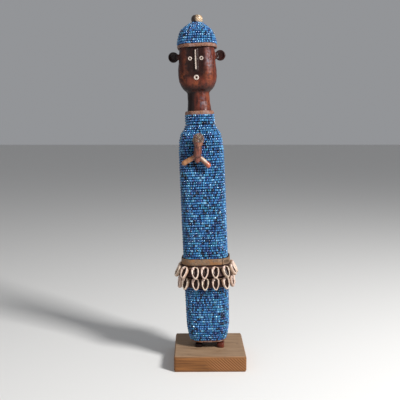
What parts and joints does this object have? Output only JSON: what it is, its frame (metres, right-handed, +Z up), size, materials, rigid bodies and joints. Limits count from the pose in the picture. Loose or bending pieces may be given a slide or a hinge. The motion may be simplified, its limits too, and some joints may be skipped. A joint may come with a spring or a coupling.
{
  "type": "beaded fertility doll",
  "caption": "Carved wooden fertility doll in a blue bead sleeve and cap, with a small child on the chest and a swinging cowrie skirt, on a square stand.",
  "frame": {"origin": "centre of the stand's underside", "axes": "+Z up the doll, -Y the way the doll faces, +X to the right of a viewer in front"},
  "size_m": [0.0927, 0.086, 0.4201],
  "materials": {
    "stand_wood": "oiled, saw marks on the edges",
    "screw_steel": "plain",
    "figure_wood": "dark oiled hardwood, worn glossy",
    "face_inlay": "pale bone or shell, satin",
    "lining_cloth": "coarse cotton",
    "band_leather": "raw tan hide",
    "blue_beads": "opaque blue seed beads, glossy",
    "top_bead_horn": "round tan bead, polished",
    "sewing_thread": "waxed cord",
    "child_wood": "worn reddish wood",
    "child_beads": "small pinkish tan beads, satin",
    "belt_leather": "tan hide strap",
    "skirt_leather": "dark hide, greased",
    "cowrie_shell": "natural cowrie shell, polished rim"
  },
  "bodies": {
    "root": {"stand_block": "stand_wood", "stand_screws": "screw_steel", "carved_figure": "figure_wood", "left_eye_ring": "face_inlay", "right_eye_ring": "face_inlay", "mouth_ring": "face_inlay", "nose_strip": "face_inlay", "body_lining": "lining_cloth", "hip_beads": "blue_beads", "torso_beads": "blue_beads", "neck_beads": "blue_beads", "hem_band": "band_leather", "collar_band": "band_leather", "cap_lining": "lining_cloth", "cap_beads": "blue_beads", "cap_band": "band_leather", "cap_top_bead": "top_bead_horn", "top_bead_thread": "sewing_thread", "child_figure": "child_wood", "child_cap": "child_beads", "child_peg": "figure_wood", "belt_band": "belt_leather", "belt_stitches": "sewing_thread", "under_skirt": "skirt_leather", "upper_shell_cord": "sewing_thread", "lower_shell_cord": "sewing_thread"},
    "upper_cowrie_01": {"upper_cowrie_01": "cowrie_shell"},
    "upper_cowrie_02": {"upper_cowrie_02": "cowrie_shell"},
    "upper_cowrie_03": {"upper_cowrie_03": "cowrie_shell"},
    "upper_cowrie_04": {"upper_cowrie_04": "cowrie_shell"},
    "upper_cowrie_05": {"upper_cowrie_05": "cowrie_shell"},
    "upper_cowrie_06": {"upper_cowrie_06": "cowrie_shell"},
    "upper_cowrie_07": {"upper_cowrie_07": "cowrie_shell"},
    "upper_cowrie_08": {"upper_cowrie_08": "cowrie_shell"},
    "upper_cowrie_09": {"upper_cowrie_09": "cowrie_shell"},
    "upper_cowrie_10": {"upper_cowrie_10": "cowrie_shell"},
    "upper_cowrie_11": {"upper_cowrie_11": "cowrie_shell"},
    "upper_cowrie_12": {"upper_cowrie_12": "cowrie_shell"},
    "upper_cowrie_13": {"upper_cowrie_13": "cowrie_shell"},
    "upper_cowrie_14": {"upper_cowrie_14": "cowrie_shell"},
    "upper_cowrie_15": {"upper_cowrie_15": "cowrie_shell"},
    "upper_cowrie_16": {"upper_cowrie_16": "cowrie_shell"},
    "lower_cowrie_01": {"lower_cowrie_01": "cowrie_shell"},
    "lower_cowrie_02": {"lower_cowrie_02": "cowrie_shell"},
    "lower_cowrie_03": {"lower_cowrie_03": "cowrie_shell"},
    "lower_cowrie_04": {"lower_cowrie_04": "cowrie_shell"},
    "lower_cowrie_05": {"lower_cowrie_05": "cowrie_shell"},
    "lower_cowrie_06": {"lower_cowrie_06": "cowrie_shell"},
    "lower_cowrie_07": {"lower_cowrie_07": "cowrie_shell"},
    "lower_cowrie_08": {"lower_cowrie_08": "cowrie_shell"},
    "lower_cowrie_09": {"lower_cowrie_09": "cowrie_shell"},
    "lower_cowrie_10": {"lower_cowrie_10": "cowrie_shell"},
    "lower_cowrie_11": {"lower_cowrie_11": "cowrie_shell"},
    "lower_cowrie_12": {"lower_cowrie_12": "cowrie_shell"},
    "lower_cowrie_13": {"lower_cowrie_13": "cowrie_shell"},
    "lower_cowrie_14": {"lower_cowrie_14": "cowrie_shell"},
    "lower_cowrie_15": {"lower_cowrie_15": "cowrie_shell"},
    "lower_cowrie_16": {"lower_cowrie_16": "cowrie_shell"}
  },
  "joints": [
    {"name": "upper_swing_01", "type": "hinge", "parent": "root", "child": "upper_cowrie_01", "pos_m": [-0.00609, -0.02517, 0.12148], "axis": [-0.9968, 0.0698, -0.0383], "range_deg": [0, 40]},
    {"name": "upper_swing_02", "type": "hinge", "parent": "root", "child": "upper_cowrie_02", "pos_m": [0.00599, -0.02602, 0.12194], "axis": [-0.9968, 0.0698, -0.0383], "range_deg": [0, 40]},
    {"name": "upper_swing_03", "type": "hinge", "parent": "root", "child": "upper_cowrie_03", "pos_m": [0.01756, -0.02323, 0.12238], "axis": [-0.8511, -0.524, -0.0327], "range_deg": [0, 40]},
    {"name": "upper_swing_04", "type": "hinge", "parent": "root", "child": "upper_cowrie_04", "pos_m": [0.02526, -0.01415, 0.12268], "axis": [-0.3783, -0.9256, -0.0145], "range_deg": [0, 40]},
    {"name": "upper_swing_05", "type": "hinge", "parent": "root", "child": "upper_cowrie_05", "pos_m": [0.02706, -0.00223, 0.12275], "axis": [-0.0697, -0.9976, -0.0027], "range_deg": [0, 40]},
    {"name": "upper_swing_06", "type": "hinge", "parent": "root", "child": "upper_cowrie_06", "pos_m": [0.02694, 0.00982, 0.12274], "axis": [0.2459, -0.9692, 0.0094], "range_deg": [0, 40]},
    {"name": "upper_swing_07", "type": "hinge", "parent": "root", "child": "upper_cowrie_07", "pos_m": [0.02057, 0.01988, 0.1225], "axis": [0.7699, -0.6375, 0.0296], "range_deg": [0, 40]},
    {"name": "upper_swing_08", "type": "hinge", "parent": "root", "child": "upper_cowrie_08", "pos_m": [0.0095, 0.02426, 0.12208], "axis": [0.9968, -0.0698, 0.0383], "range_deg": [0, 40]},
    {"name": "upper_swing_09", "type": "hinge", "parent": "root", "child": "upper_cowrie_09", "pos_m": [-0.00258, 0.0251, 0.12161], "axis": [0.9968, -0.0698, 0.0383], "range_deg": [0, 40]},
    {"name": "upper_swing_10", "type": "hinge", "parent": "root", "child": "upper_cowrie_10", "pos_m": [-0.01465, 0.02595, 0.12115], "axis": [0.9968, -0.0698, 0.0383], "range_deg": [0, 40]},
    {"name": "upper_swing_11", "type": "hinge", "parent": "root", "child": "upper_cowrie_11", "pos_m": [-0.02622, 0.02316, 0.1207], "axis": [0.8511, 0.524, 0.0327], "range_deg": [0, 40]},
    {"name": "upper_swing_12", "type": "hinge", "parent": "root", "child": "upper_cowrie_12", "pos_m": [-0.03393, 0.01408, 0.12041], "axis": [0.3783, 0.9256, 0.0145], "range_deg": [0, 40]},
    {"name": "upper_swing_13", "type": "hinge", "parent": "root", "child": "upper_cowrie_13", "pos_m": [-0.03573, 0.00216, 0.12034], "axis": [0.0697, 0.9976, 0.0027], "range_deg": [0, 40]},
    {"name": "upper_swing_14", "type": "hinge", "parent": "root", "child": "upper_cowrie_14", "pos_m": [-0.0356, -0.00989, 0.12034], "axis": [-0.2459, 0.9692, -0.0094], "range_deg": [0, 40]},
    {"name": "upper_swing_15", "type": "hinge", "parent": "root", "child": "upper_cowrie_15", "pos_m": [-0.02924, -0.01995, 0.12059], "axis": [-0.7699, 0.6375, -0.0296], "range_deg": [0, 40]},
    {"name": "upper_swing_16", "type": "hinge", "parent": "root", "child": "upper_cowrie_16", "pos_m": [-0.01816, -0.02433, 0.12101], "axis": [-0.9968, 0.0698, -0.0383], "range_deg": [0, 40]},
    {"name": "lower_swing_01", "type": "hinge", "parent": "root", "child": "lower_cowrie_01", "pos_m": [-0.00557, -0.02517, 0.10809], "axis": [-0.9968, 0.0698, -0.0383], "range_deg": [0, 30]},
    {"name": "lower_swing_02", "type": "hinge", "parent": "root", "child": "lower_cowrie_02", "pos_m": [0.0065, -0.02602, 0.10855], "axis": [-0.9968, 0.0698, -0.0383], "range_deg": [0, 30]},
    {"name": "lower_swing_03", "type": "hinge", "parent": "root", "child": "lower_cowrie_03", "pos_m": [0.01807, -0.02323, 0.10899], "axis": [-0.8511, -0.524, -0.0327], "range_deg": [0, 30]},
    {"name": "lower_swing_04", "type": "hinge", "parent": "root", "child": "lower_cowrie_04", "pos_m": [0.02578, -0.01415, 0.10929], "axis": [-0.3783, -0.9256, -0.0145], "range_deg": [0, 30]},
    {"name": "lower_swing_05", "type": "hinge", "parent": "root", "child": "lower_cowrie_05", "pos_m": [0.02758, -0.00223, 0.10936], "axis": [-0.0697, -0.9976, -0.0027], "range_deg": [0, 30]},
    {"name": "lower_swing_06", "type": "hinge", "parent": "root", "child": "lower_cowrie_06", "pos_m": [0.02745, 0.00982, 0.10935], "axis": [0.2459, -0.9692, 0.0094], "range_deg": [0, 30]},
    {"name": "lower_swing_07", "type": "hinge", "parent": "root", "child": "lower_cowrie_07", "pos_m": [0.02109, 0.01988, 0.10911], "axis": [0.7699, -0.6375, 0.0296], "range_deg": [0, 30]},
    {"name": "lower_swing_08", "type": "hinge", "parent": "root", "child": "lower_cowrie_08", "pos_m": [0.01001, 0.02426, 0.10868], "axis": [0.9968, -0.0698, 0.0383], "range_deg": [0, 30]},
    {"name": "lower_swing_09", "type": "hinge", "parent": "root", "child": "lower_cowrie_09", "pos_m": [-0.00206, 0.0251, 0.10822], "axis": [0.9968, -0.0698, 0.0383], "range_deg": [0, 30]},
    {"name": "lower_swing_10", "type": "hinge", "parent": "root", "child": "lower_cowrie_10", "pos_m": [-0.01414, 0.02595, 0.10776], "axis": [0.9968, -0.0698, 0.0383], "range_deg": [0, 30]},
    {"name": "lower_swing_11", "type": "hinge", "parent": "root", "child": "lower_cowrie_11", "pos_m": [-0.02571, 0.02316, 0.10731], "axis": [0.8511, 0.524, 0.0327], "range_deg": [0, 30]},
    {"name": "lower_swing_12", "type": "hinge", "parent": "root", "child": "lower_cowrie_12", "pos_m": [-0.03341, 0.01408, 0.10702], "axis": [0.3783, 0.9256, 0.0145], "range_deg": [0, 30]},
    {"name": "lower_swing_13", "type": "hinge", "parent": "root", "child": "lower_cowrie_13", "pos_m": [-0.03521, 0.00216, 0.10695], "axis": [0.0697, 0.9976, 0.0027], "range_deg": [0, 30]},
    {"name": "lower_swing_14", "type": "hinge", "parent": "root", "child": "lower_cowrie_14", "pos_m": [-0.03509, -0.00989, 0.10695], "axis": [-0.2459, 0.9692, -0.0094], "range_deg": [0, 30]},
    {"name": "lower_swing_15", "type": "hinge", "parent": "root", "child": "lower_cowrie_15", "pos_m": [-0.02872, -0.01995, 0.1072], "axis": [-0.7699, 0.6375, -0.0296], "range_deg": [0, 30]},
    {"name": "lower_swing_16", "type": "hinge", "parent": "root", "child": "lower_cowrie_16", "pos_m": [-0.01765, -0.02433, 0.10762], "axis": [-0.9968, 0.0698, -0.0383], "range_deg": [0, 30]}
  ]
}
